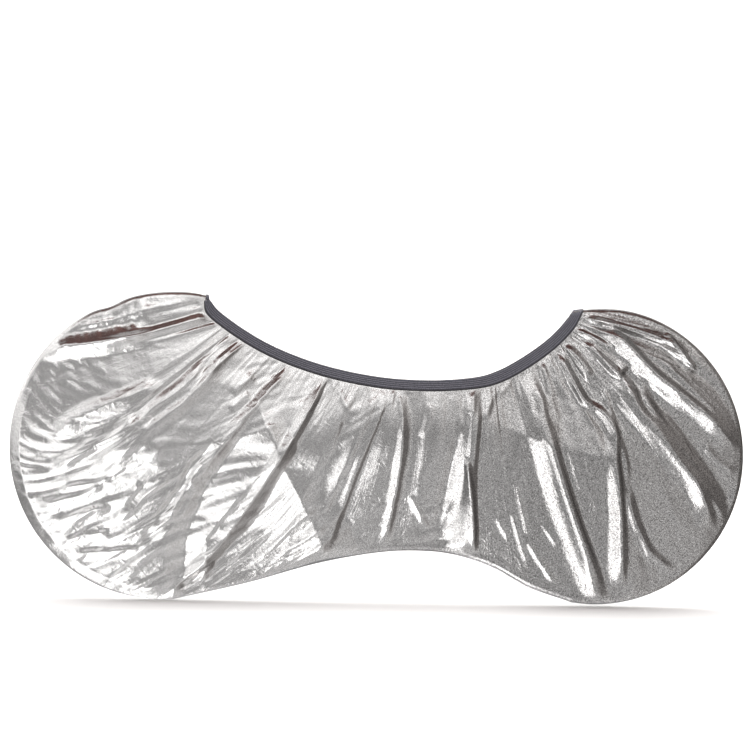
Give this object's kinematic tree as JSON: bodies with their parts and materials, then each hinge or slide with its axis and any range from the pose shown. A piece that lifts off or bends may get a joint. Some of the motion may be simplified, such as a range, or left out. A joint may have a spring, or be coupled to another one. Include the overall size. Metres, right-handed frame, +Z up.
{
  "type": "bicycle wheel cover",
  "caption": "Fitted dust cover of silver metallic cloth for the wheels and chain of a bicycle, with round ends, a long mouth at the top and a dark elastic binding.",
  "frame": {"origin": "on the floor, below the middle of the cover's length and width", "axes": "+X runs along the bicycle to its rear wheel, +Y to the far side panel, +Z up"},
  "size_m": [1.6819, 0.1439, 0.7004],
  "materials": {
    "metallic_cloth": "polyester cloth with a silver metallic coating, creased and shiny",
    "elastic_tape": "matte slate grey elastic tape with fine lengthwise ribs"
  },
  "bodies": {
    "root": {"panel_near": "metallic_cloth", "panel_far": "metallic_cloth", "mouth_binding": "elastic_tape"}
  },
  "joints": []
}
